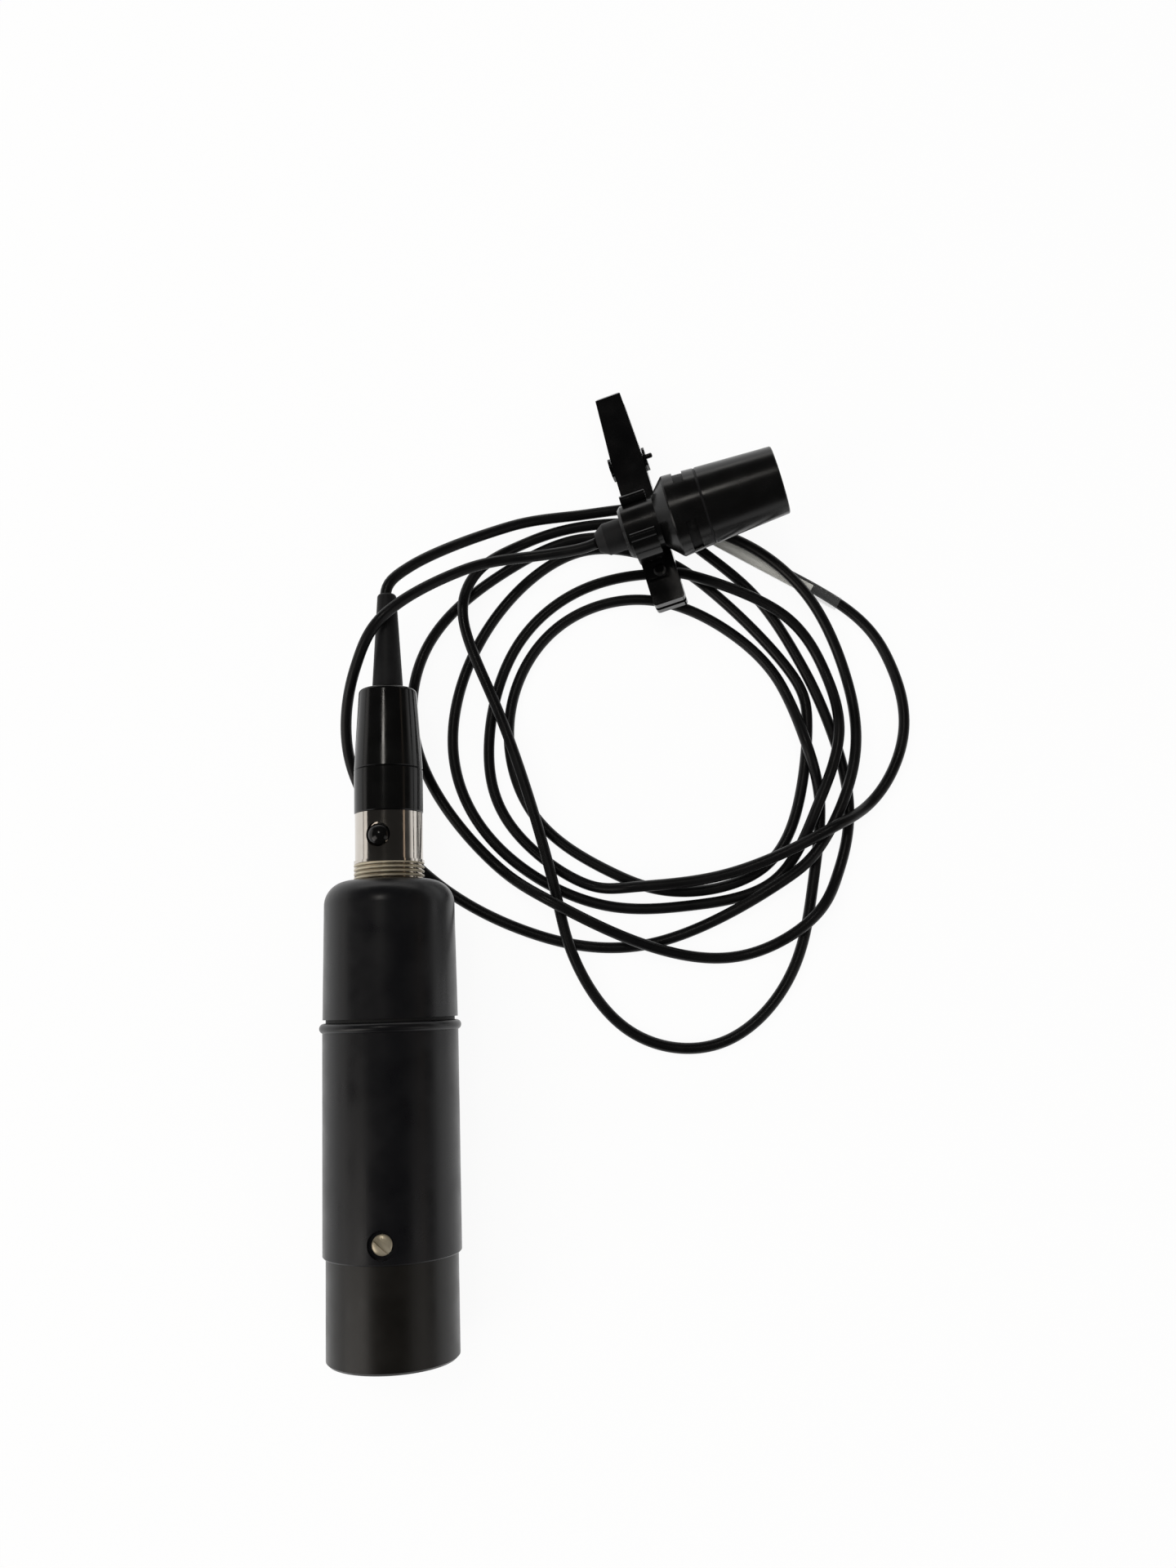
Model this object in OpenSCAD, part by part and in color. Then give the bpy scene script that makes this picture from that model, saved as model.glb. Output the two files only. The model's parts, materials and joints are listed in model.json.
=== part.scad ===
// Lavalier microphone in its tie clip, with its cable plugged into an in-line preamp.
// It all lies on the plane z = 0. The preamp's axis runs along Y: the three-pin connector is
// at its -Y end, and the four-pin jack, with the cable's plug in it, is at its +Y end.

/* [Layout] */
// Where the preamp's axis lies along X
preamp_x = -26.9; // [-32:0.1:-22]
// Where the mouth of the three-pin connector lies along Y
mouth_y = -74.8; // [-78:0.1:-70]
// Where the microphone's ring stands along X
clip_x = 15; // [12:0.1:18]
// Where the microphone's ring stands along Y
clip_y = 47.8; // [44:0.1:52]
// How far the clip is turned about Z, in degrees
clip_turn = 14; // [8:0.5:20]
// How far the clip leans about its own length, with the microphone's front end up
clip_roll = -11; // [-14:0.5:-6]
// How far the clip's levers point down to the table
clip_tilt = -2.9; // [-5:0.1:-2]

/* [Three-pin connector] */
// Outer diameter of the connector's shell
xlr_d = 19.05; // [18.6:0.05:19.6]
// Bore of the shell
xlr_bore_d = 16.4; // [15.8:0.1:16.8]
// Length of the shell in front of the body
xlr_len = 14.4; // [13.8:0.1:18]
// Depth from the shell's mouth to the face of the insert
xlr_depth = 12.6; // [11:0.1:13.2]
// Thickness of the shell's seat behind the insert
xlr_seat_t = 0.6; // [0.4:0.05:1]
// Diameter of a pin
xlr_pin_d = 2.4; // [2:0.05:2.6]
// Radius of the circle that the pins stand on
xlr_pin_circle_r = 4.85; // [4:0.05:5.2]
// How far a pin's tip stays behind the shell's mouth
xlr_pin_shy = 1.8; // [1:0.1:3]
// Width of the key slot in the shell's wall
xlr_key_w = 2.4; // [1.6:0.1:3.2]
// Depth of the key slot
xlr_key_deep = 0.5; // [0.2:0.05:0.7]

/* [Preamp body] */
// Outer diameter of the body tube
body_d = 20; // [19.8:0.05:22]
// Wall of the body tube
body_wall = 1.2; // [0.9:0.05:1.4]
// Length of the body tube up to its rolled lip
body_len = 31.5; // [24:0.5:60]
// How far the rolled lip stands proud of the body
lip_rise = 0.45; // [0.2:0.05:0.7]
// Width of the rolled lip
lip_w = 1.5; // [1:0.05:2.2]
// Length of the connector shell's spigot inside the body
spigot_len = 7.6; // [5:0.1:10]
// Wall of the spigot
spigot_wall = 1.4; // [0.9:0.05:1.7]
// Width of the gap between body and cap, which a spacer ring fills
gap_w = 0.5; // [0.3:0.05:1]
// Depth of the spacer ring below the body's surface
gap_deep = 0.5; // [0.2:0.05:0.8]

/* [Preamp cap] */
// How far the cap's foot stays below the body's surface
cap_step = 0.04; // [0:0.01:0.15]
// How much the cap's radius shrinks towards its shoulder
cap_taper = 0.22; // [0:0.02:0.6]
// Length of the cap
cap_len = 20.4; // [16:0.1:30]
// Radius of the cap's shoulder
cap_round = 3.6; // [1:0.1:4.4]
// Wall of the cap's skirt and spigot
cap_wall = 1.2; // [0.8:0.05:1.5]
// Thickness of the cap's top
cap_top = 3; // [2:0.1:4.5]
// Length of the cap's spigot inside the body
cap_spigot = 6; // [3:0.1:9]

/* [Retaining screw] */
// Diameter of the screw's head
screw_head_d = 2.9; // [2:0.1:3.6]
// Height of the screw's head
screw_head_t = 0.5; // [0.4:0.05:0.6]
// Diameter of the recess that the head sits in
screw_recess_d = 4.1; // [3.8:0.1:5]
// Depth of the recess
screw_recess_deep = 0.75; // [0.7:0.05:0.85]
// Diameter of the screw's shank
screw_shank_d = 1.5; // [1:0.1:1.8]
// How far the screw sits behind the edge of the body
screw_back = 2.75; // [2.45:0.05:4]

/* [Circuit board] */
// Clearance beside the board
board_gap = 0.55; // [0.4:0.05:1.5]
// Thickness of the board
board_t = 1.2; // [0.8:0.1:1.6]
// Diameter of an electrolytic capacitor
can_d = 4.6; // [4:0.1:5]
// Length of an electrolytic capacitor
can_len = 7; // [5:0.1:9]

/* [Jack] */
// Outer diameter of the jack's thread
thread_d = 10.65; // [10.45:0.05:11]
// Pitch of the jack's thread
thread_pitch = 0.65; // [0.5:0.05:1]
// Length of thread that shows above the cap
thread_out = 3; // [1:0.1:5]
// Outer diameter of the jack's barrel
barrel_d = 10.25; // [9.8:0.05:10.4]
// Length of the barrel past the thread
barrel_len = 7.2; // [6.6:0.1:10]
// Bore of the jack
jack_bore_d = 8.6; // [8.4:0.05:9]
// Thickness of the jack's nut
nut_t = 2.3; // [1.5:0.1:3]
// Clearance at the nut's corners inside the cap
nut_gap = 0.15; // [0.1:0.05:0.4]
// Diameter of a jack pin
jack_pin_d = 1; // [0.8:0.05:1]
// Radius of the circle that the jack's pins stand on
jack_pin_circle_r = 2; // [1.9:0.05:2.05]

/* [Plug] */
// Outer diameter of the plug
plug_d = 10.45; // [10.1:0.05:11.4]
// Length of the plug's front shell
plug_front_len = 6.8; // [6.4:0.05:10]
// Length of the plug's rear shell
plug_rear_len = 12.6; // [9:0.05:18]
// Diameter of the rear shell at its cable end
plug_end_d = 8.9; // [8.6:0.05:9.8]
// Rounding of the rear shell's cable end
plug_end_round = 0.6; // [0.2:0.05:1]
// Wall of the plug's metal nose
nose_wall = 0.45; // [0.3:0.05:0.5]
// Length of the flexible relief outside the plug
relief_len = 15.5; // [10:0.1:20]
// Diameter of the relief where it leaves the plug
relief_d = 4.8; // [4:0.05:5.4]
// Diameter of the relief at its tip
relief_tip_d = 3; // [2.6:0.05:3.4]

/* [Latch] */
// Diameter of the latch button
button_d = 3.3; // [2.9:0.05:3.6]
// How far the button's dome stands out of the barrel
button_proud = 0.48; // [0.2:0.02:0.7]
// Travel of the button
button_travel = 0.7; // [0.4:0.05:0.75]
// Running clearance around the button
button_gap = 0.1; // [0.05:0.01:0.2]
// How far the button's centre sits past the thread
button_at = 3.6; // [3:0.1:4]
// How far the button is turned from the top
button_turn = 11; // [0:1:45]
// Thickness of the latch's leaf
leaf_t = 0.25; // [0.15:0.01:0.3]
// Width of the latch's leaf
leaf_w = 2.4; // [1.6:0.1:3]

/* [Cable] */
// Diameter of the cable
cord_d = 1.75; // [1.4:0.05:1.8]
// Length of the blank label
label_len = 20; // [8:0.5:22]
// Length of the clear sleeve over the label
sleeve_len = 26; // [23:0.5:27]
// Thickness of the label and of its sleeve
label_t = 0.12; // [0.06:0.01:0.14]

/* [Microphone] */
// Diameter of the front tube at its open end
front_d = 10.7; // [10.5:0.05:11.6]
// Diameter at the joint between front tube and housing
joint_d = 12.2; // [12:0.05:13]
// Diameter of the housing at its back edge
back_d = 13; // [12.8:0.05:14]
// Length of the front tube
front_len = 12.1; // [11:0.1:18]
// Width of the seal ring that shows at the joint
seal_w = 0.3; // [0.2:0.05:0.6]
// Depth of the seal ring below the surface
seal_deep = 0.12; // [0.05:0.01:0.3]
// Length of the housing from the joint to its back edge
house_len = 5; // [4.5:0.05:7]
// Length of the cone behind the back edge
cone_len = 2.3; // [1.8:0.1:3]
// How far the neck starts in front of the ring
neck_front = 2.3; // [1.8:0.05:3]
// How far the neck ends behind the ring
neck_back = 1; // [0.4:0.05:1.4]
// Diameter of the neck that the clip holds
neck_d = 8.3; // [7.8:0.05:8.6]
// Width of a slot in the housing
slot_w = 1.6; // [1:0.1:2.2]
// How far a slot is from the housing's back edge
slot_back = 1.7; // [1:0.1:2]
// Angle that a slot spans
slot_angle = 59; // [40:1:80]
// How far the first slot is turned from the top
slot_turn = 64; // [40:1:90]
// Wall of the housing
house_wall = 0.35; // [0.3:0.05:0.7]
// Depth of the mesh below the front tube's rim
mesh_deep = 0.8; // [0.4:0.1:2]
// Diameter of a hole in the front mesh
mesh_hole_d = 0.8; // [0.5:0.05:0.9]
// Distance between holes in the front mesh
mesh_pitch = 1.25; // [1.1:0.05:1.8]
// Diameter of the capsule
capsule_d = 8.4; // [7:0.1:8.6]
// Length of the capsule
capsule_len = 5.5; // [3:0.1:6.4]
// Diameter of the cable boot
boot_d = 5.1; // [4:0.05:6]
// Length of the cable boot outside the neck
boot_len = 4.5; // [3:0.1:6]

/* [Tie clip] */
// Width of the jaws
jaw_w = 5.2; // [4.6:0.05:6]
// Width of the levers at their tips
tip_w = 4.25; // [3.6:0.05:5]
// Thickness of a jaw
jaw_t = 1.3; // [1.1:0.05:1.6]
// Thickness of the closed clip
clip_t = 4.2; // [4.1:0.05:5]
// Length of the jaws from the ring to the biting end
bite_len = 11.3; // [10.5:0.1:16]
// Length of the jaws from the ring to the hinge pin
hinge_len = 14.3; // [13:0.1:18]
// Length of the levers from the hinge pin
lever_len = 11.7; // [8:0.1:14]
// How far the back lever splays, in degrees
lever_splay = 6; // [4:0.5:9]
// Height of the ring's axis above the front jaw
ring_h = 5; // [4.9:0.05:6]
// Width of the ring along the microphone's axis
ring_w = 4; // [3:0.1:4.6]
// How far the ring sits off the jaw's centre, towards the cable
ring_off = 0.45; // [0.3:0.05:1]
// Wall of the ring
ring_wall = 1.3; // [0.8:0.05:1.6]
// Angle of the ring's opening
ring_open = 94; // [70:1:110]
// Where the opening points, from the top towards the levers
ring_turn = 12; // [0:1:25]
// Distance from the ring's axis to its rivet
rivet_at = 6.05; // [5.9:0.05:7.2]
// Diameter of the hinge pin
pin_d = 0.8; // [0.7:0.05:1]
// How far the hinge pin stands out of the ear on the microphone's side
pin_out = 0.9; // [0.3:0.1:1.5]
// Distance between teeth
tooth_pitch = 1.2; // [0.8:0.1:1.6]
// Depth of a tooth
tooth_deep = 0.4; // [0.2:0.05:0.5]
// Clearance between the closed jaws
jaw_gap = 0.3; // [0.2:0.05:0.4]

/* [Fits] */
// Clearance between pieces that sit in each other
fit = 0.05; // [0.03:0.01:0.06]
// Gap at a soldered end
solder_gap = 0.3; // [0.1:0.05:0.5]

/* [Hidden] */
$fn = 48;
tiny = 0.01;

// Radii
xlr_r = xlr_d / 2;
xlr_bore_r = xlr_bore_d / 2;
xlr_pin_r = xlr_pin_d / 2;
body_r = body_d / 2;
lip_r = body_r + lip_rise;
body_bore_r = body_r - body_wall;
spigot_r = body_bore_r - fit;
spigot_bore_r = spigot_r - spigot_wall;
cap_r = body_r - cap_step;
cap_bore_r = spigot_r - cap_wall;
thread_r = thread_d / 2;
barrel_r = barrel_d / 2;
jack_bore_r = jack_bore_d / 2;
jack_pin_r = jack_pin_d / 2;
nose_r = jack_bore_r - fit;
core_r = nose_r - nose_wall - fit;
plug_r = plug_d / 2;
button_r = button_d / 2;
cord_r = cord_d / 2;
cord_bore_r = cord_r + fit;
neck_r = neck_d / 2;
back_r = back_d / 2;
joint_r = joint_d / 2;
front_r = front_d / 2;
pin_r = pin_d / 2;

// Places along the preamp's axis, from the mouth of the three-pin connector
z_body = xlr_len;
z_seat = z_body - xlr_seat_t;
z_screw = z_body + screw_back;
z_spigot = z_body + spigot_len;
z_lip = z_body + body_len;
z_gap = z_lip + lip_w;
z_cap = z_gap + gap_w;
z_cap_top = z_cap + cap_len;
z_cap_in = z_cap_top - cap_top;
z_jack = z_cap_in - nut_t - 1.2;
z_tail = z_jack - 0.8;
z_barrel = z_cap_top + thread_out;
z_button = z_barrel + button_at;
z_plug = z_barrel + barrel_len;
z_seam = z_plug + plug_front_len;
z_plug_end = z_seam + plug_rear_len;
z_relief = z_plug_end + relief_len;

// The board runs from the three-pin connector's pins to the jack's
z_board = z_spigot + solder_gap;
board_len = z_tail - solder_gap - z_board;
board_w = 2 * (cap_bore_r - board_gap);

// Places along the microphone's axis, from the middle of the ring
s_neck = neck_front;
s_back = s_neck + cone_len;
s_joint = s_back + house_len;
s_tube = s_joint + seal_w;
s_rim = s_tube + front_len;
s_ring = -ring_off - ring_w / 2;
s_neck_end = s_ring - neck_back;
s_boot = s_neck_end - boot_len;

// Clip: the pin lies midway between the jaws, and the back lever's tip touches the table
pin_z = -clip_t / 2;
lever_drop = lever_len * tan(lever_splay);
lever_y = hinge_len + lever_len;
tip_x = -tip_w / 2;
tip_z = -clip_t - lever_drop;
clip_z = tip_x * sin(clip_roll) - (lever_y * sin(clip_tilt) + tip_z * cos(clip_tilt)) * cos(clip_roll);

// Local frames. On the preamp, z runs from the mouth to the plug and y is up.
module at_preamp() {
  translate([preamp_x, mouth_y, lip_r]) rotate([90, 0, 180]) children();
}
// On the clip, x runs towards the microphone's front, y towards the levers, and z is up.
module at_clip() {
  translate([clip_x, clip_y, clip_z]) rotate([clip_tilt, clip_roll, clip_turn]) children();
}
// On the microphone, z runs along its axis to the front, x towards the levers, and y is up.
module at_mic() {
  at_clip() translate([0, 0, ring_h]) rotate([90, 0, 90]) children();
}
// A rod or a hole that stands out from the preamp's axis at a given angle from the top
module outward(turn, z, from, to, r) {
  translate([0, 0, z]) rotate([-90, 0, -turn]) translate([0, 0, from]) cylinder(h = to - from, r = r);
}
module tube(from, to, r, bore) {
  translate([0, 0, from]) difference() {
    cylinder(h = to - from, r = r);
    translate([0, 0, -1]) cylinder(h = to - from + 2, r = bore);
  }
}
module disc(from, to, r) {
  translate([0, 0, from]) cylinder(h = to - from, r = r);
}

// Three-pin connector
pin_angles = [70, -70, 180];
module on_pin_circle() {
  for (a = pin_angles) rotate([0, 0, a]) translate([0, xlr_pin_circle_r, 0]) children();
}
module xlr_shell() {
  edge = 0.35;
  color("#26241f") at_preamp() difference() {
    union() {
      rotate_extrude() polygon([
        [0, 0], [xlr_r - edge, 0], [xlr_r, edge], [xlr_r, z_body], [0, z_body]
      ]);
      disc(z_body - tiny, z_spigot, spigot_r);
    }
    disc(-1, z_seat, xlr_bore_r);
    disc(z_seat - tiny, z_spigot + 1, spigot_bore_r);
    rotate_extrude() polygon([
      [xlr_bore_r - 1, -1], [xlr_bore_r + edge + 1, -1], [xlr_bore_r + edge, 0], [xlr_bore_r - 1, edge + 1]
    ]);
    translate([-xlr_key_w / 2, 0, -1]) cube([xlr_key_w, xlr_bore_r + xlr_key_deep, xlr_depth + 1]);
    outward(0, z_screw, 1, body_r, screw_shank_d / 2 + fit);
  }
}
module xlr_insert() {
  color("#1d1c1a") at_preamp() difference() {
    union() {
      disc(xlr_depth, z_seat - fit, xlr_bore_r - fit);
      disc(z_seat - 2 * fit, z_spigot - 2, spigot_bore_r - fit);
    }
    on_pin_circle() disc(0, z_spigot, xlr_pin_r + fit);
    outward(0, z_screw, spigot_bore_r - 1.2, body_r, screw_shank_d / 2 + 0.4);
  }
}
module xlr_pins() {
  color("#c9b27a") at_preamp() on_pin_circle() difference() {
    union() {
      disc(xlr_pin_shy + xlr_pin_r, z_spigot, xlr_pin_r);
      translate([0, 0, xlr_pin_shy + xlr_pin_r]) sphere(r = xlr_pin_r);
    }
    disc(z_spigot - 2.5, z_spigot + 1, xlr_pin_r - 0.4);
  }
}

// Body
module body_tube() {
  edge = 0.2;
  roll = lip_w / 2;
  color("#2a2825") at_preamp() difference() {
    rotate_extrude() union() {
      polygon([
        [body_bore_r, z_body], [body_r - edge, z_body], [body_r, z_body + edge],
        [body_r, z_lip + roll], [body_bore_r, z_lip + roll]
      ]);
      translate([body_bore_r, z_lip]) square([lip_r - roll - body_bore_r, lip_w]);
      translate([lip_r - roll, z_lip + roll]) circle(r = roll);
    }
    outward(0, z_screw, body_r - screw_recess_deep, body_r + 1, screw_recess_d / 2);
    outward(0, z_screw, 1, body_r + 1, screw_shank_d / 2 + fit);
  }
}
module retaining_screw() {
  seat = body_r - screw_recess_deep + fit;
  color("#b7b2a6") at_preamp() translate([0, 0, z_screw]) rotate([-90, 0, 0]) difference() {
    union() {
      translate([0, 0, spigot_bore_r - 0.4]) cylinder(h = seat - spigot_bore_r + 0.5, r = screw_shank_d / 2);
      translate([0, 0, seat]) cylinder(h = screw_head_t * 0.6, r = screw_head_d / 2);
      translate([0, 0, seat + screw_head_t * 0.6 - tiny])
        cylinder(h = screw_head_t * 0.4, r1 = screw_head_d / 2, r2 = screw_head_d / 2 - 0.3);
    }
    rotate([0, 0, 40]) translate([-2, -0.2, seat + screw_head_t * 0.45]) cube([4, 0.4, 1]);
  }
}
module spacer_ring() {
  color("#111111") at_preamp() tube(z_gap, z_cap, body_r - gap_deep, spigot_r + fit);
}
module top_cap() {
  shoulder_z = z_cap_top - cap_round;
  shoulder_r = cap_r - cap_taper;
  color("#2a2825") at_preamp() difference() {
    union() {
      rotate_extrude() union() {
        polygon([
          [0, z_cap], [cap_r, z_cap], [shoulder_r, shoulder_z], [0, shoulder_z]
        ]);
        translate([0, shoulder_z - tiny]) square([shoulder_r - cap_round, cap_round + tiny]);
        intersection() {
          translate([shoulder_r - cap_round, shoulder_z]) circle(r = cap_round);
          translate([shoulder_r - cap_round, shoulder_z - tiny]) square(cap_round + 1);
        }
      }
      disc(z_cap - cap_spigot, z_cap + tiny, spigot_r);
    }
    disc(z_cap - cap_spigot - 1, z_cap_in, cap_bore_r);
    disc(z_cap_in - 1, z_cap_top + 1, thread_r + fit);
  }
}

// Circuit board and what is soldered to it
module circuit_board() {
  color("#2f6b3a") at_preamp()
    translate([-board_w / 2, -board_t / 2, z_board]) cube([board_w, board_t, board_len]);
}
// Puts a part on the board's upper face, at a distance from its three-pin end
module on_board(x, z) {
  at_preamp() translate([x, board_t / 2 + fit, z_board + z]) children();
}
module electrolytic_capacitors() {
  groove = 0.15;
  color("#1f2f5a") for (k = [0, 1]) on_board(-0.2 * board_w, 1.5 + k * (can_len + 1))
    translate([0, can_d / 2, 0]) rotate_extrude() polygon([
      [0, 0], [can_d / 2, 0], [can_d / 2, can_len - 1.4], [can_d / 2 - groove, can_len - 1.2],
      [can_d / 2 - groove, can_len - 0.9], [can_d / 2, can_len - 0.7], [can_d / 2, can_len], [0, can_len]
    ]);
}
module film_capacitors() {
  box = [0.33 * board_w, 3.6, 2.5];
  color("#b8322a") for (k = [0, 1]) on_board(0.03 * board_w, 2 + k * (box[2] + 1.2)) cube(box);
}
module transistors() {
  color("#161616") for (place = [0.34, 0.47]) on_board(0.2 * board_w, place * board_len) intersection() {
    rotate([-90, 0, 0]) cylinder(h = 3.6, r = 2.3);
    translate([-2.5, 0, -2.3]) cube([5, 3.6, 3.7]);
  }
}
module resistors() {
  color("#c8a878") for (k = [0:4]) on_board(-2.5, board_len - 1.5 - 1.8 * k)
    translate([0, 0.8, 0]) rotate([0, 90, 0]) cylinder(h = 5, r = 0.8);
}

// Jack on the cap's end
jack_turns = [for (k = [0:3]) button_turn + 45 + 90 * k];
module on_jack_circle() {
  for (a = jack_turns) rotate([0, 0, -a]) translate([0, jack_pin_circle_r, 0]) children();
}
module jack_barrel() {
  groove = thread_pitch * 0.5;
  turns = floor((z_barrel - z_jack) / thread_pitch);
  color("#b9b0a2") at_preamp() difference() {
    union() {
      disc(z_jack, z_barrel, thread_r);
      disc(z_barrel - tiny, z_plug, barrel_r);
    }
    rotate_extrude() for (k = [0:turns - 1]) polygon([
      [thread_r + 0.1, z_jack + k * thread_pitch - 0.1],
      [thread_r - groove, z_jack + (k + 0.5) * thread_pitch],
      [thread_r + 0.1, z_jack + (k + 1) * thread_pitch + 0.1]
    ]);
    disc(z_jack - 1, z_plug + 1, jack_bore_r);
    outward(button_turn, z_button, 1, thread_r + 1, button_r + button_gap + 0.1);
  }
}
module jack_nut() {
  color("#b9b0a2") at_preamp() translate([0, 0, z_cap_in - nut_t]) difference() {
    cylinder(h = nut_t - fit, r = cap_bore_r - nut_gap, $fn = 6);
    translate([0, 0, -1]) cylinder(h = nut_t + 2, r = thread_r + fit);
  }
}
module jack_insert() {
  color("#171717") at_preamp() difference() {
    disc(z_barrel - 5.3, z_barrel - solder_gap, jack_bore_r - fit);
    on_jack_circle() disc(z_jack, z_plug, jack_pin_r + fit);
  }
}
module jack_pins() {
  color("#c9b27a") at_preamp() on_jack_circle() {
    disc(z_tail, z_button + 1.4, jack_pin_r);
    translate([0, 0, z_button + 1.4]) sphere(r = jack_pin_r);
  }
}

// Plug on the cable
z_core = z_barrel + 0.5;
z_core_end = z_plug + plug_front_len - 2;
socket_r = jack_pin_r + 0.2;
leaf_floor = jack_pin_circle_r * cos(45) + socket_r + 0.09;
button_foot = nose_r - nose_wall - 0.3;
module plug_nose() {
  color("#9a948a") at_preamp() difference() {
    tube(z_barrel + 0.3, z_seam - 3.5, nose_r, nose_r - nose_wall);
    outward(button_turn, z_button, 1, nose_r + 1, button_r + button_gap);
  }
}
module plug_insert() {
  slot = leaf_w + 0.2;
  color("#171717") at_preamp() difference() {
    disc(z_core, z_core_end, core_r);
    on_jack_circle() disc(z_core - 1, z_core_end + 1, socket_r + fit);
    outward(button_turn, z_button, leaf_floor, core_r + 1, button_r + button_gap);
    rotate([0, 0, -button_turn]) translate([-slot / 2, leaf_floor, z_button - 2])
      cube([slot, core_r, z_core_end - z_button + 1]);
    rotate([0, 0, -button_turn]) translate([-slot / 2, leaf_floor, z_core_end - 1.1])
      cube([slot, leaf_t + 2 * fit, 2]);
  }
}
module plug_sockets() {
  color("#c9b27a") at_preamp() on_jack_circle()
    tube(z_core + 0.2, z_core_end + 2, socket_r, jack_pin_r + fit);
}
module plug_front_shell() {
  edge = 0.15;
  color("#161616") at_preamp() difference() {
    rotate_extrude() polygon([
      [0, z_plug + fit], [plug_r - edge, z_plug + fit], [plug_r, z_plug + fit + edge],
      [plug_r, z_seam - edge], [plug_r - edge, z_seam], [0, z_seam]
    ]);
    disc(z_plug - 1, z_seam + 1, jack_bore_r);
  }
}
module plug_rear_shell() {
  edge = 0.15;
  end_r = plug_end_d / 2;
  color("#161616") at_preamp() difference() {
    union() {
      rotate_extrude() union() {
        polygon([
          [0, z_seam], [plug_r - edge, z_seam], [plug_r, z_seam + edge],
          [end_r, z_plug_end - plug_end_round], [0, z_plug_end - plug_end_round]
        ]);
        translate([0, z_plug_end - plug_end_round - tiny])
          square([end_r - plug_end_round, plug_end_round + tiny]);
        intersection() {
          translate([end_r - plug_end_round, z_plug_end - plug_end_round]) circle(r = plug_end_round);
          translate([end_r - plug_end_round, z_plug_end - plug_end_round - tiny]) square(2);
        }
      }
      disc(z_seam - 3.2, z_seam + tiny, nose_r);
    }
    disc(z_seam - 4, z_plug_end - 1.6, nose_r - nose_wall);
    disc(z_seam, z_plug_end + 1, relief_d / 2 + fit);
  }
}
module plug_relief() {
  tip_r = relief_tip_d / 2;
  round_r = tip_r - cord_bore_r;
  shelf = z_plug_end - 1.6 - fit;
  color("#242424") at_preamp() difference() {
    rotate_extrude() union() {
      polygon([
        [0, shelf - 1.2], [core_r - 0.3, shelf - 1.2], [core_r - 0.3, shelf], [relief_d / 2, shelf],
        [relief_d / 2, z_plug_end], [tip_r, z_relief - round_r], [0, z_relief - round_r]
      ]);
      translate([0, z_relief - round_r - tiny]) square([tip_r - round_r, round_r + tiny]);
      intersection() {
        translate([tip_r - round_r, z_relief - round_r]) circle(r = round_r);
        translate([tip_r - round_r, z_relief - round_r - tiny]) square(2);
      }
    }
    disc(z_seam, z_relief + 1, cord_bore_r);
  }
}
module cord_clamp() {
  color("#b9b0a2") at_preamp() difference() {
    tube(z_seam + 2.2, z_seam + 5.4, cord_r + 0.7, cord_bore_r);
    translate([-0.25, 0, z_seam + 1]) cube([0.5, 3, 6]);
  }
}
module latch_button() {
  crown = button_proud + 0.35;
  top = barrel_r + button_proud;
  ball_r = (pow(button_r, 2) + pow(crown, 2)) / (2 * crown);
  color("#141414") at_preamp() intersection() {
    outward(button_turn, z_button, button_foot, top + 1, button_r);
    translate([0, 0, z_button]) rotate([-90, 0, -button_turn]) translate([0, 0, top - ball_r]) union() {
      sphere(r = ball_r);
      translate([0, 0, -4]) cylinder(h = 4 + ball_r - crown, r = button_r + 1);
    }
  }
}
module latch_leaf() {
  rise = button_foot - fit - leaf_t;
  back = z_core_end - z_button;
  color("#c9c4b8") at_preamp() rotate([0, 0, -button_turn]) translate([-leaf_w / 2, 0, z_button])
    rotate([0, 90, 0]) rotate([0, 0, 90]) linear_extrude(leaf_w) polygon([
      [rise, -1.2], [rise, 2], [leaf_floor + fit, 5], [leaf_floor + fit, back],
      [leaf_floor + fit + leaf_t, back], [leaf_floor + fit + leaf_t, 5.1],
      [rise + leaf_t, 2.1], [rise + leaf_t, -1.2]
    ]);
}

// Microphone
tube_bore_r = front_r - 0.72;
collar_r = joint_r - 0.7;
collar_len = 2.4;
neck_bevel = 0.5;
module front_tube() {
  collar_end = s_tube + collar_len;
  color("#1b1b1c") at_mic() difference() {
    rotate_extrude() polygon([
      [0, s_tube], [joint_r - 0.1, s_tube], [joint_r, s_tube + 0.1],
      [front_r, s_rim - 0.15], [front_r - 0.15, s_rim], [0, s_rim]
    ]);
    disc(s_tube - 1, collar_end, collar_r + fit);
    disc(s_tube, s_rim + 1, tube_bore_r);
    disc(s_rim - mesh_deep - 0.3, s_rim + 1, tube_bore_r + 0.3);
  }
}
module front_mesh() {
  rows = floor(tube_bore_r / mesh_pitch) + 1;
  reach = tube_bore_r - mesh_hole_d;
  color("#8f8f92") at_mic() difference() {
    disc(s_rim - mesh_deep - 0.3, s_rim - mesh_deep, tube_bore_r + 0.3 - fit);
    for (i = [-rows:rows], j = [-rows:rows]) {
      x = (i + j / 2) * mesh_pitch;
      y = j * mesh_pitch * sin(60);
      if (norm([x, y]) < reach) translate([x, y, 0]) disc(s_rim - mesh_deep - 1, s_rim, mesh_hole_d / 2);
    }
  }
}
felt_end = s_rim - mesh_deep - 0.3 - fit;
felt_t = 0.8;
module acoustic_felt() {
  color("#2d2d2d") at_mic() disc(felt_end - felt_t, felt_end, tube_bore_r - fit);
}
capsule_end = felt_end - felt_t - fit;
capsule_r = capsule_d / 2;
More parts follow.
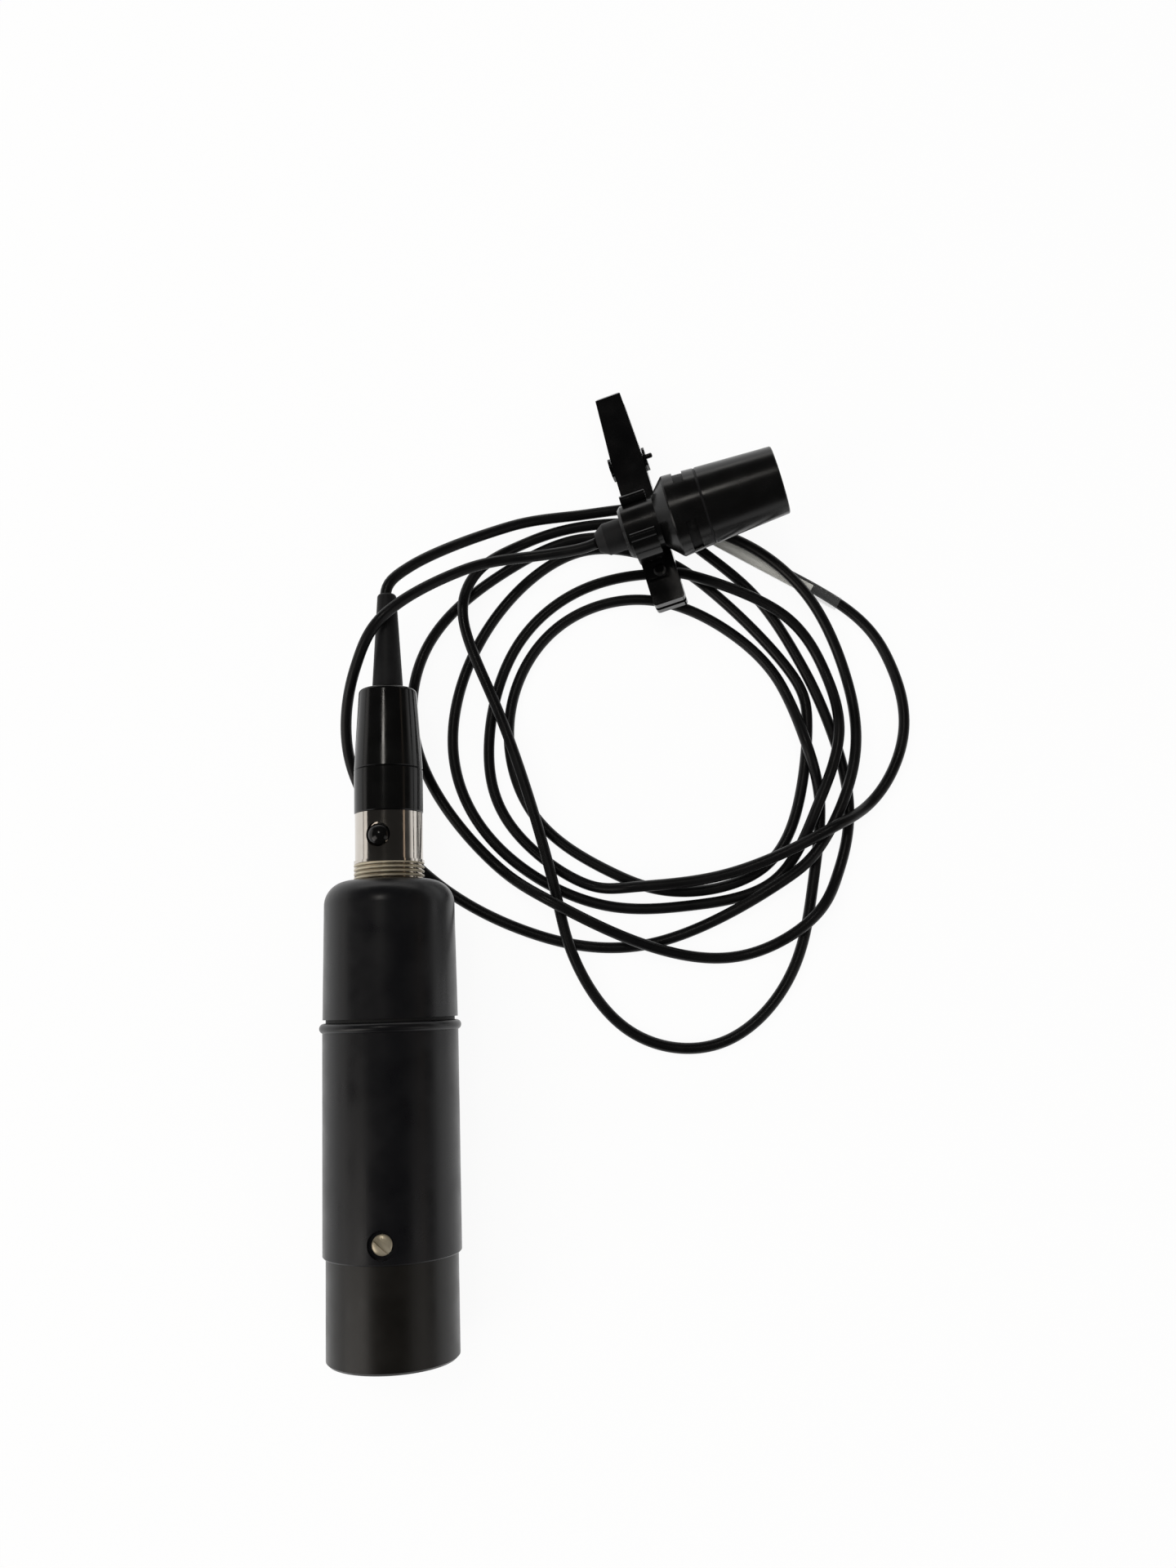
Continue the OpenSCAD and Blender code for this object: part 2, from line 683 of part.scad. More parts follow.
module capsule() {
  color("#b4b4ae") at_mic() difference() {
    disc(capsule_end - capsule_len, capsule_end, capsule_r);
    disc(capsule_end - 0.3, capsule_end + 1, capsule_r - 0.6);
    for (a = [0:60:300]) rotate([0, 0, a]) translate([capsule_r * 0.5, 0, 0])
      disc(capsule_end - 1.2, capsule_end + 1, 0.35);
    translate([0, 0, capsule_end - capsule_len + 0.6])
      rotate_extrude() translate([capsule_r, 0]) circle(r = 0.15);
  }
}
module capsule_sleeve() {
  color("#1a1a1a") at_mic() tube(capsule_end - capsule_len, capsule_end, tube_bore_r - fit, capsule_r + fit);
}
module capsule_board() {
  back = capsule_end - capsule_len - fit;
  color("#2f6b3a") at_mic() union() {
    disc(back - 0.8, back, capsule_r - 0.2);
    for (x = [-1.2, 1.2]) translate([x, 0, 0]) disc(back - 1.3, back - 0.8 + tiny, 0.6);
  }
}
module seal_ring() {
  color("#0c0c0c") at_mic() tube(s_joint, s_tube, joint_r - seal_deep, collar_r + fit);
}
slot_turns = [for (k = [0:2]) slot_turn + 120 * k];
mesh_from = s_back + 1;
mesh_to = s_joint - 0.7;
// The housing's bore follows its tapered outside, at the wall's distance
function house_bore(s) = back_r - (back_r - joint_r) * (s - s_back) / house_len - house_wall;
module rear_housing() {
  edge = 0.12;
  hollow = s_back + 0.9;
  step_at = s_joint - 0.6;
  collar_bore_r = collar_r - 0.6;
  color("#1b1b1c") at_mic() difference() {
    union() {
      rotate_extrude() polygon([
        [0, s_neck_end], [neck_r - neck_bevel, s_neck_end], [neck_r, s_neck_end + neck_bevel],
        [neck_r, s_neck], [back_r - edge, s_back - edge],
        [back_r, s_back + edge], [joint_r, s_joint], [0, s_joint]
      ]);
      disc(s_joint - tiny, s_tube + collar_len - 0.1, collar_r);
    }
    rotate_extrude() polygon([
      [0, hollow], [house_bore(hollow), hollow], [house_bore(step_at), step_at],
      [collar_bore_r, s_joint - tiny], [collar_bore_r, s_tube + collar_len + 1],
      [0, s_tube + collar_len + 1]
    ]);
    disc(s_neck_end + 1.6, hollow + 1, neck_r - 1.4);
    disc(s_neck_end - 1, s_neck_end + 2, boot_d / 2 - 0.5 + fit);
    for (a = slot_turns) translate([0, 0, s_back + slot_back]) rotate([0, 0, a + 90 - slot_angle / 2])
      rotate_extrude(angle = slot_angle) translate([house_bore(s_joint) - 0.2, 0]) square([3, slot_w]);
  }
}
module slot_mesh() {
  wall = 0.15;
  from_r = house_bore(mesh_from) - fit;
  to_r = house_bore(mesh_to) - fit;
  color("#77777a") at_mic() rotate_extrude() polygon([
    [from_r - wall, mesh_from], [from_r, mesh_from], [to_r, mesh_to], [to_r - wall, mesh_to]
  ]);
}
module cable_boot() {
  boot_r = boot_d / 2;
  cone = 1.5;
  color("#202020") at_mic() difference() {
    union() {
      rotate_extrude() polygon([
        [0, s_boot], [boot_r - 1, s_boot], [boot_r, s_boot + cone],
        [boot_r, s_neck_end - fit], [0, s_neck_end - fit]
      ]);
      disc(s_neck_end - 2 * fit, s_neck_end + 1.5, boot_r - 0.5);
    }
    disc(s_boot - 1, s_neck_end + 3, cord_bore_r);
  }
}

// Tie clip
function tooth_row(count, pitch, deep) =
  [for (k = [0:count - 1]) each [[k * pitch, 0], [(k + 0.5) * pitch, deep]]];
rail_w = 0.55;
ear_t = 0.45;
ear_r = 1.6;
lug_r = 1.15;
lug_t = 1;
bite_w = 4.6;
half_bite = clip_t / 2 - jaw_gap / 2;
corner_r = 0.5;
function corner(middle, from) =
  [for (a = [from:30:from + 90]) middle + corner_r * [cos(a), sin(a)]];
// A jaw's outline from above: parallel to the hinge, then tapered to the lever's tip
module jaw_plan(r = corner_r) {
  half = jaw_w / 2;
  tip = tip_w / 2;
  translate([0, 0, -3 * clip_t]) linear_extrude(5 * clip_t) polygon(concat(
    corner([r - half, r - bite_len], 180), corner([half - r, r - bite_len], 270), [[half, hinge_len]],
    corner([tip - r, lever_y - r], 0), corner([r - tip, lever_y - r], 90), [[-half, hinge_len]]
  ));
}
// A bar's outline from the side, with the bite's teeth, drawn for the lower jaw: along y, up z
module bar_profile(from, to, low, high, teeth_at) {
  count = floor(bite_w / tooth_pitch);
  polygon(concat(
    [[from, high]],
    [[from, teeth_at - tooth_deep]],
    [for (p = tooth_row(count, tooth_pitch, tooth_deep)) [from + 0.2 + p[0], teeth_at - tooth_deep + p[1]]],
    [[from + 0.2 + count * tooth_pitch, teeth_at - tooth_deep], [from + 0.4 + count * tooth_pitch, high]],
    [[to, high], [to, low], [from, low]]
  ));
}
// Lays a side view, drawn along y and z, across the clip between two x
module across(x_from, x_to) {
  translate([x_from, 0, 0]) rotate([90, 0, 90]) linear_extrude(x_to - x_from) children();
}
module hinge_hole(r) {
  translate([-jaw_w, hinge_len, pin_z]) rotate([0, 90, 0]) cylinder(h = 2 * jaw_w, r = r);
}
module front_jaw() {
  half = jaw_w / 2;
  color("#19191a") at_clip() intersection() {
    jaw_plan();
    difference() {
      union() {
        mirror([0, 0, 1]) across(-half, half) bar_profile(-bite_len, lever_y - 0.5, 0, jaw_t, half_bite);
        translate([0, lever_y - 0.5 - tiny, -jaw_t]) across(-half, half)
          polygon([[0, 0], [0.5, 0.2], [0.5, jaw_t - 0.5], [0.1, jaw_t], [0, jaw_t]]);
        for (side = [-1, 1]) {
          translate([side > 0 ? half - rail_w : -half, -bite_len + bite_w + 0.3, -half_bite])
            cube([rail_w, hinge_len - 2.6 + bite_len - bite_w - 0.3, half_bite - jaw_t + tiny]);
          translate([side > 0 ? half - lug_t - 0.05 : -half + 0.05, hinge_len, pin_z]) rotate([0, 90, 0])
            cylinder(h = lug_t, r = lug_r);
          translate([side > 0 ? half - lug_t - 0.05 : -half + 0.05, hinge_len - lug_r, pin_z])
            cube([lug_t, 2 * lug_r, -pin_z - jaw_t + tiny]);
        }
      }
      hinge_hole(pin_r + fit);
      translate([-half + lug_t + 0.05, hinge_len - 1.4, -jaw_t - 1]) cube([jaw_w - 2 * lug_t - 0.1, 2.8, 1.4]);
      translate([0, -rivet_at, -jaw_t - 1]) cylinder(h = jaw_t + 2, r = 0.6 + fit);
    }
  }
}
module back_jaw() {
  half = jaw_w / 2;
  inside = half + jaw_gap / 4;
  color("#19191a") at_clip() difference() {
    union() {
      intersection() {
        jaw_plan();
        translate([0, 0, -clip_t]) union() {
          across(-half, half) bar_profile(-bite_len, hinge_len, 0, jaw_t, half_bite);
          across(-half, half) polygon([
            [hinge_len - tiny, 0], [lever_y - 0.4, -lever_drop * (lever_len - 0.4) / lever_len],
            [lever_y, -lever_drop + 0.3], [lever_y, -lever_drop + jaw_t - 0.3],
            [lever_y - 0.3, -lever_drop + jaw_t], [hinge_len - tiny, jaw_t]
          ]);
        }
      }
      for (side = [-1, 1]) {
        translate([side > 0 ? half - rail_w : -half, -bite_len + bite_w + 0.3, -clip_t + jaw_t - tiny])
          cube([rail_w, hinge_len - 2.6 + bite_len - bite_w - 0.3, half_bite - jaw_t]);
        translate([side > 0 ? inside : -inside - ear_t, hinge_len, pin_z]) rotate([0, 90, 0])
          cylinder(h = ear_t, r = ear_r);
        translate([side > 0 ? inside : -inside - ear_t, hinge_len - ear_r, -clip_t + 0.2])
          cube([ear_t, 2 * ear_r, clip_t / 2 - 0.2]);
        translate([side > 0 ? half - tiny : -inside - tiny, hinge_len - ear_r, -clip_t + 0.2])
          cube([inside - half + 2 * tiny, 2 * ear_r, jaw_t - 0.6]);
      }
    }
    hinge_hole(pin_r + fit / 2);
    translate([-half - tiny, hinge_len - 1.7, pin_z - 1.5]) cube([jaw_w + 2 * tiny, 3.4, 1.5]);
  }
}
module mic_ring() {
  outer_r = neck_r + fit + ring_wall;
  mid_r = neck_r + fit + ring_wall / 2;
  half_open = ring_open / 2;
  foot = 3.4;
  tab = rivet_at + 1.1;
  color("#19191a") difference() {
    union() {
      at_mic() translate([0, 0, s_ring]) linear_extrude(ring_w) difference() {
        union() {
          difference() {
            circle(r = outer_r);
            rotate(-ring_turn) polygon([
              [0, 0], [-2 * outer_r * tan(half_open), 2 * outer_r],
              [2 * outer_r * tan(half_open), 2 * outer_r]
            ]);
          }
          for (side = [-1, 1]) rotate(-ring_turn - side * half_open)
            translate([0, mid_r]) circle(r = ring_wall / 2 + 0.15);
          translate([-foot, -ring_h]) square([2 * foot, 1.8]);
        }
        circle(r = neck_r + fit);
        translate([-2 * outer_r, -ring_h - 2 * outer_r + fit / 2]) square([4 * outer_r, 2 * outer_r]);
      }
      at_clip() translate([s_ring + 0.4, -tab, fit / 2]) cube([ring_w - 0.8 - (ring_off - 0.4), tab, 0.7]);
    }
    at_mic() disc(s_ring - 1, s_ring + ring_w + 1, neck_r + fit);
    at_clip() translate([0, -rivet_at, -1]) cylinder(h = 3, r = 0.6 + fit);
  }
}
module ring_rivet() {
  color("#3a3a3c") at_clip() translate([0, -rivet_at, 0]) {
    translate([0, 0, -jaw_t - 0.2]) cylinder(h = jaw_t + 1, r = 0.6);
    translate([0, 0, 0.7 + fit]) cylinder(h = 0.35, r1 = 1, r2 = 0.7);
    translate([0, 0, -jaw_t - 0.4]) cylinder(h = 0.35, r1 = 0.7, r2 = 0.95);
  }
}
module hinge_pin() {
  from = jaw_w / 2 + jaw_gap / 4 + ear_t + 0.1;
  bevel = 0.15;
  color("#6d6d6f") at_clip() translate([-from, hinge_len, pin_z]) rotate([0, 90, 0]) union() {
    cylinder(h = 2 * from + pin_out - bevel, r = pin_r);
    translate([0, 0, 2 * from + pin_out - bevel - tiny]) cylinder(h = bevel, r1 = pin_r, r2 = pin_r - bevel);
  }
}
module clip_spring() {
  wire_r = 0.17;
  coil_r = pin_r + 0.12 + wire_r;
  turns = 4;
  leg_len = 5;
  leg_x = (turns - 1) / 2 * (2 * wire_r + 0.05);
  leg_rise = clip_t / 2 - jaw_t - wire_r - fit;
  color("#8a8a8c") at_clip() translate([0, hinge_len, pin_z]) {
    for (k = [0:turns - 1]) translate([k * (2 * wire_r + 0.05) - leg_x, 0, 0])
      rotate([0, 90, 0]) rotate_extrude() translate([coil_r, 0]) circle(r = wire_r);
    for (side = [-1, 1]) translate([side * leg_x, -coil_r, 0])
      rotate([90 - side * atan(leg_rise / leg_len), 0, 0]) cylinder(h = leg_len, r = wire_r);
  }
}

// Cable: [x, y, height] of the points that it runs through, with both ends straight
function in_clip(p) =
  let (
    y1 = p[1] * cos(clip_tilt) - p[2] * sin(clip_tilt),
    z1 = p[1] * sin(clip_tilt) + p[2] * cos(clip_tilt),
    x2 = p[0] * cos(clip_roll) + z1 * sin(clip_roll),
    z2 = z1 * cos(clip_roll) - p[0] * sin(clip_roll)
  ) [
    clip_x + x2 * cos(clip_turn) - y1 * sin(clip_turn),
    clip_y + x2 * sin(clip_turn) + y1 * cos(clip_turn),
    clip_z + z2
  ];
label_from = [46.5, 36.8, 1.25];
label_to = [22.4, 51.4, 1.25];
cord_route = [
  // Off the microphone, over the plug's relief, down to the table and under the jack
  [-5, 44.5, 8.8], [-15, 42.2, 10.2], [-27.3, 34, 13.5], [-31.8, 27, 10.8],
  [-34.2, 14.5, 4], [-24.3, -3, 0.95],
  [-7, -14.2, 0.95], [13, -16.8, 0.95], [33.5, -8, 2.85], [39.6, -3, 2.85],
  // Up the right side, over the label and under the microphone
  [45.7, 9, 2.85], [46.4, 24, 0.95], [39.8, 39, 3.4], [30.6, 47.4, 3.45], [21.5, 50.4, 3.55],
  [14.5, 49.9, 0.95],
  // Down the left side, over the strand below, and round the bottom
  [4, 50.1, 0.95], [-8.5, 45, 0.95], [-21.5, 33.1, 0.95], [-23.3, 14.3, 0.95], [-11.5, -3.5, 0.95],
  [-2.5, -10.1, 4.95],
  [11.5, -17, 2.95], [27, -19.2, 0.95], [38.5, -13.4, 3.15], [43.1, -6, 0.95], [45.2, 5.5, 0.95],
  // Up the right side again
  [41.6, 21.2, 0.95], [38.3, 28.9, 0.95], [31.5, 40, 0.95], [22.4, 48.5, 0.95], [18.5, 51.5, 0.95],
  // Down the middle over four strands, and round the lowest loop
  [6, 52.4, 0.95], [-5, 49.8, 0.95], [-13.2, 44.5, 2.55], [-15.7, 37, 2.95], [-10, 20, 2.85],
  [-2, -8.5, 2.85],
  [0.3, -18, 2.85], [8.5, -30, 0.95], [23, -32.5, 0.95], [34.5, -22.2, 0.95], [38.8, -8, 0.95],
  [40.6, 5.8, 0.95], [38.8, 13.5, 3.15],
  // Up the innermost line on the right
  [35.7, 23.8, 0.95], [28, 33, 0.95],
  // Round the innermost loop
  [14.5, 39.2, 0.95], [-0.5, 35, 0.95], [-8.6, 20.5, 0.95], [-5, 4, 0.95], [6.5, -5.2, 0.95],
  [17, -8.8, 0.95], [31.2, -5.4, 0.95], [37.6, 6.1, 0.95],
  // Back up and under the clip
  [39.4, 18, 0.95], [37.6, 25.5, 0.95], [21.5, 43.4, 0.95], [14, 47.1, 0.95],
  // Round the next loop
  [3.5, 47.8, 0.95], [-11.4, 35.9, 0.95], [-17.9, 15.5, 0.95], [-11.2, -0.5, 0.95], [4.5, -10.3, 0.95],
  [19, -11.1, 0.95], [32.6, -7.6, 0.95],
  // Up over two strands and under the clip
  [39.5, 3, 2.95], [43.9, 14.5, 3], [42.8, 26, 0.95], [35.5, 36, 2.85], [21, 42.7, 2.95],
  [15.3, 43.6, 0.95],
  // Round the last loop on the left
  [4.7, 41.7, 0.95], [-7.1, 32.2, 0.95], [-12.1, 15.5, 0.95], [-8.8, 2.5, 0.95],
  // Over the bundle, round the outside and through the label
  [3, -7.2, 0.95], [10.5, -8, 2.95], [23, -6.9, 2.95], [34.8, -3.2, 3.7], [42.2, 0.3, 4.95],
  [49.5, 5.1, 1.25], [54.9, 16, 0.95], [53.5, 27, 0.95],
  label_from, label_to, [16.3, 54.8, 0.95],
  // Over to the plug, rising to its relief
  [5, 54.3, 1.05], [-8, 51.7, 3.35], [-23.4, 43.3, 9.6]
];
cord_points = concat(
  [in_clip([s_boot + 2, 0, ring_h]), in_clip([s_boot - 3, 0, ring_h])],
  cord_route,
  [[preamp_x, mouth_y + z_relief + 1, lip_r], [preamp_x, mouth_y + z_seam + 2, lip_r]]
);
module cord() {
  sides = 8;
  last = len(cord_points) - 1;
  points = [for (i = [0:last])
    let (
      ahead = cord_points[min(i + 1, last)] - cord_points[max(i - 1, 0)],
      run = ahead / norm(ahead),
      side = cross([0, 0, 1], run),
      flat = side / norm(side),
      up = cross(run, flat)
    ) for (k = [0:sides - 1])
      cord_points[i] + cord_r * (cos(k * 360 / sides) * flat + sin(k * 360 / sides) * up)
  ];
  walls = [for (i = [0:last - 1], k = [0:sides - 1])
    let (a = i * sides + k, b = i * sides + (k + 1) % sides)
      each [[a, b, b + sides], [a, b + sides, a + sides]]
  ];
  ends = [
    [for (k = [sides - 1:-1:0]) k],
    [for (k = [0:sides - 1]) last * sides + k]
  ];
  color("#1c1c1c") polyhedron(points, concat(walls, ends));
}
// A sleeve round the label's straight stretch of cable, between two distances from its start
module on_label(from, to, wall_r, bore) {
  run = label_to - label_from;
  translate(label_from) rotate([0, acos(run[2] / norm(run)), atan2(run[1], run[0])])
    tube(from, to, wall_r, bore);
}
sleeve_at = 1;
label_at = sleeve_at + sleeve_len - label_len - 1;
label_r = cord_r + fit / 2 + label_t;
module label_band() {
  color("#f2f2ee") on_label(label_at, label_at + label_len, label_r, cord_r + fit / 2);
}
module label_sleeve() {
  bore = label_r + fit / 2;
  color("#9a9a96") on_label(sleeve_at, sleeve_at + sleeve_len, bore + label_t, bore);
}

xlr_shell();
xlr_insert();
xlr_pins();
body_tube();
retaining_screw();
spacer_ring();
top_cap();
circuit_board();
electrolytic_capacitors();
film_capacitors();
transistors();
resistors();
jack_barrel();
jack_nut();
jack_insert();
jack_pins();
plug_nose();
plug_insert();
plug_sockets();
plug_front_shell();
plug_rear_shell();
plug_relief();
cord_clamp();
latch_button();
latch_leaf();
cord();
label_band();
label_sleeve();
front_tube();
front_mesh();
acoustic_felt();
capsule();
capsule_sleeve();
capsule_board();
seal_ring();
rear_housing();
slot_mesh();
cable_boot();
front_jaw();
back_jaw();
mic_ring();
ring_rivet();
hinge_pin();
clip_spring();
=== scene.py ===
import json
import math

import bmesh
import bpy
import numpy as np
from mathutils import Matrix, Vector


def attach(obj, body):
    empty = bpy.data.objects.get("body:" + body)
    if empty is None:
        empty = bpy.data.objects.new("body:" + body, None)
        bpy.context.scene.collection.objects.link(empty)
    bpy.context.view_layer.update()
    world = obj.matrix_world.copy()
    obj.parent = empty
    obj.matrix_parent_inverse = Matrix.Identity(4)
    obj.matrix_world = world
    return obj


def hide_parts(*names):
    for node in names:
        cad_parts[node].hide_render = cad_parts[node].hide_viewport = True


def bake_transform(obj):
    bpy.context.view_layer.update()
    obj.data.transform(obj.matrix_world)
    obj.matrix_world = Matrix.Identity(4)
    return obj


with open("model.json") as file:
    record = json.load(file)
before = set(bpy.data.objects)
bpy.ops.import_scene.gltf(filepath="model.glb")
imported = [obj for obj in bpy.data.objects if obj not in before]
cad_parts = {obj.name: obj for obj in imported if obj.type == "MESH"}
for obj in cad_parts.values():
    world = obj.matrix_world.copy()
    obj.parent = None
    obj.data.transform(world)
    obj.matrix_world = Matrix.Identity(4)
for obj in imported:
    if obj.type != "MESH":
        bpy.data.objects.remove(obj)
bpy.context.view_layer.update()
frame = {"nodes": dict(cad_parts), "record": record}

MM = 0.001
nodes = frame["nodes"]

# ---------------------------------------------------------------- camera

# Where the camera stands, in millimetres, and how it is turned, in radians
CAMERA_AT = (3.66, -25.36, 207.91)
CAMERA_PITCH = 0.1642
CAMERA_ROLL = -0.0343


def make_camera():
    """A camera above the table, at the photograph's viewing angle."""
    data = bpy.data.cameras.new("camera")
    data.sensor_fit = "VERTICAL"
    data.sensor_height = 36
    data.lens = 30
    data.clip_start = 0.01
    data.clip_end = 10
    camera = bpy.data.objects.new("camera", data)
    turn = Matrix.Rotation(CAMERA_PITCH, 4, "X") @ Matrix.Rotation(CAMERA_ROLL, 4, "Z")
    camera.matrix_world = Matrix.Translation(Vector(CAMERA_AT) * MM) @ turn
    bpy.context.scene.collection.objects.link(camera)
    bpy.context.scene.camera = camera


make_camera()

# ---------------------------------------------------------------- cord

# Millimetres, as in the part's source: the cord's radius, its way out of the microphone's boot,
# the preamp's axis, two places along the plug, the label's ends and the route's points
CORD_R = 0.875
BOOT_EXIT = (6.442, 45.927, 10.405)
MIC_AXIS = (0.95247, 0.23748, 0.19081)
PREAMP_X = -26.9
PREAMP_Z = 10.45
RELIEF_TIP_Y = 38.6
PLUG_SEAM_Y = 10.5
LABEL_FROM = (46.5, 36.8, 1.25)
LABEL_TO = (22.4, 51.4, 1.25)
CORD_ROUTE = [
    # Off the microphone, over the plug's relief, down to the table and under the jack
    (-5, 44.5, 8.8), (-15, 42.2, 10.2), (-27.3, 34, 13.5), (-31.8, 27, 10.8),
    (-34.2, 14.5, 4), (-24.3, -3, 0.95),
    (-7, -14.2, 0.95), (13, -16.8, 0.95), (33.5, -8, 2.85), (39.6, -3, 2.85),
    # Up the right side, over the label and under the microphone
    (45.7, 9, 2.85), (46.4, 24, 0.95), (39.8, 39, 3.4), (30.6, 47.4, 3.45), (21.5, 50.4, 3.55),
    (14.5, 49.9, 0.95),
    # Down the left side, over the strand below, and round the bottom
    (4, 50.1, 0.95), (-8.5, 45, 0.95), (-21.5, 33.1, 0.95), (-23.3, 14.3, 0.95), (-11.5, -3.5, 0.95),
    (-2.5, -10.1, 4.95),
    (11.5, -17, 2.95), (27, -19.2, 0.95), (38.5, -13.4, 3.15), (43.1, -6, 0.95), (45.2, 5.5, 0.95),
    # Up the right side again
    (41.6, 21.2, 0.95), (38.3, 28.9, 0.95), (31.5, 40, 0.95), (22.4, 48.5, 0.95), (18.5, 51.5, 0.95),
    # Down the middle over four strands, and round the lowest loop
    (6, 52.4, 0.95), (-5, 49.8, 0.95), (-13.2, 44.5, 2.55), (-15.7, 37, 2.95), (-10, 20, 2.85),
    (-2, -8.5, 2.85),
    (0.3, -18, 2.85), (8.5, -30, 0.95), (23, -32.5, 0.95), (34.5, -22.2, 0.95), (38.8, -8, 0.95),
    (40.6, 5.8, 0.95), (38.8, 13.5, 3.15),
    # Up the innermost line on the right
    (35.7, 23.8, 0.95), (28, 33, 0.95),
    # Round the innermost loop
    (14.5, 39.2, 0.95), (-0.5, 35, 0.95), (-8.6, 20.5, 0.95), (-5, 4, 0.95), (6.5, -5.2, 0.95),
    (17, -8.8, 0.95), (31.2, -5.4, 0.95), (37.6, 6.1, 0.95),
    # Back up and under the clip
    (39.4, 18, 0.95), (37.6, 25.5, 0.95), (21.5, 43.4, 0.95), (14, 47.1, 0.95),
    # Round the next loop
    (3.5, 47.8, 0.95), (-11.4, 35.9, 0.95), (-17.9, 15.5, 0.95), (-11.2, -0.5, 0.95), (4.5, -10.3, 0.95),
    (19, -11.1, 0.95), (32.6, -7.6, 0.95),
    # Up over two strands and under the clip
    (39.5, 3, 2.95), (43.9, 14.5, 3), (42.8, 26, 0.95), (35.5, 36, 2.85), (21, 42.7, 2.95),
    (15.3, 43.6, 0.95),
    # Round the last loop on the left
    (4.7, 41.7, 0.95), (-7.1, 32.2, 0.95), (-12.1, 15.5, 0.95), (-8.8, 2.5, 0.95),
    # Over the bundle, round the outside and through the label
    (3, -7.2, 0.95), (10.5, -8, 2.95), (23, -6.9, 2.95), (34.8, -3.2, 3.7), (42.2, 0.3, 4.95),
    (49.5, 5.1, 1.25), (54.9, 16, 0.95), (53.5, 27, 0.95),
    LABEL_FROM, LABEL_TO, (16.3, 54.8, 0.95),
    # Over to the plug, rising to its relief
    (5, 54.3, 1.05), (-8, 51.7, 3.35), (-23.4, 43.3, 9.6),
]


def spline(t, p, at):
    """A natural cubic spline through the values p at the places t."""
    n = len(t)
    h = np.diff(t)
    a = np.zeros((n, n))
    b = np.zeros(n)
    a[0, 0] = a[-1, -1] = 1
    for i in range(1, n - 1):
        a[i, i - 1:i + 2] = h[i - 1], 2 * (h[i - 1] + h[i]), h[i]
        b[i] = 6 * ((p[i + 1] - p[i]) / h[i] - (p[i] - p[i - 1]) / h[i - 1])
    m = np.linalg.solve(a, b)
    i = np.clip(np.searchsorted(t, at, side="right") - 1, 0, n - 2)
    u = at - t[i]
    v = t[i + 1] - at
    return (
        (m[i] * v ** 3 + m[i + 1] * u ** 3) / (6 * h[i])
        + (p[i] / h[i] - m[i] * h[i] / 6) * v
        + (p[i + 1] / h[i] - m[i + 1] * h[i] / 6) * u
    )


def level_spline(t, p, at):
    """A cubic through the values p at t that never rises above or dips below them."""
    h = np.diff(t)
    rise = np.diff(p) / h
    slope = np.zeros(len(t))
    for i in range(1, len(t) - 1):
        if rise[i - 1] * rise[i] > 0:
            w1 = 2 * h[i] + h[i - 1]
            w2 = h[i] + 2 * h[i - 1]
            slope[i] = (w1 + w2) / (w1 / rise[i - 1] + w2 / rise[i])
    slope[0] = rise[0]
    slope[-1] = rise[-1]
    i = np.clip(np.searchsorted(t, at, side="right") - 1, 0, len(t) - 2)
    s = (at - t[i]) / h[i]
    return (
        p[i] * (1 + 2 * s) * (1 - s) ** 2
        + slope[i] * h[i] * s * (1 - s) ** 2
        + p[i + 1] * s * s * (3 - 2 * s)
        + slope[i + 1] * h[i] * s * s * (s - 1)
    )


def cord_line():
    """The cord's centreline from the boot to inside the plug, in millimetres."""
    exit_at = np.array(BOOT_EXIT)
    axis = np.array(MIC_AXIS)
    points = [exit_at, exit_at - 3 * axis]
    points += [np.array(p, float) for p in CORD_ROUTE]
    points += [
        np.array([PREAMP_X, RELIEF_TIP_Y + 1, PREAMP_Z]),
        np.array([PREAMP_X, RELIEF_TIP_Y - 5, PREAMP_Z]),
        np.array([PREAMP_X, PLUG_SEAM_Y + 2, PREAMP_Z]),
    ]
    p = np.array(points)
    t = np.concatenate([[0], np.cumsum(np.sqrt(np.linalg.norm(np.diff(p, axis=0), axis=1)))])
    at = np.linspace(0, t[-1], 2600)
    return np.column_stack([spline(t, p[:, 0], at), spline(t, p[:, 1], at), level_spline(t, p[:, 2], at)])


def evenly(line, step):
    """The same line with points a fixed step apart."""
    d = np.concatenate([[0], np.cumsum(np.linalg.norm(np.diff(line, axis=0), axis=1))])
    at = np.linspace(0, d[-1], int(d[-1] / step) + 1)
    return np.column_stack([np.interp(at, d, line[:, k]) for k in range(3)]), d[-1]


def new_object(name, mesh):
    """An object with this mesh, in the scene."""
    piece = bpy.data.objects.new(name, mesh)
    bpy.context.scene.collection.objects.link(piece)
    return piece


def swept(name, line, radius, sides):
    """A tube along a line. radius is a number or one for each point."""
    n = len(line)
    radii = np.broadcast_to(radius, n)
    run = np.gradient(line, axis=0)
    run /= np.linalg.norm(run, axis=1)[:, None]
    side = np.cross([0, 0, 1], run[0])
    rings = []
    for i in range(n):
        side = side - run[i] * side.dot(run[i])
        side /= np.linalg.norm(side)
        up = np.cross(run[i], side)
        a = np.linspace(0, 2 * math.pi, sides, endpoint=False)
        rings.append(line[i] + radii[i] * (np.outer(np.cos(a), side) + np.outer(np.sin(a), up)))
    verts = np.concatenate(rings) * MM
    faces = [
        (i * sides + k, i * sides + (k + 1) % sides, (i + 1) * sides + (k + 1) % sides, (i + 1) * sides + k)
        for i in range(n - 1) for k in range(sides)
    ]
    faces.append(tuple(reversed(range(sides))))
    faces.append(tuple((n - 1) * sides + k for k in range(sides)))
    mesh = bpy.data.meshes.new(name)
    mesh.from_pydata([tuple(v) for v in verts], [], faces)
    mesh.polygons.foreach_set("use_smooth", [True] * len(mesh.polygons))
    mesh.update()
    return new_object(name, mesh)


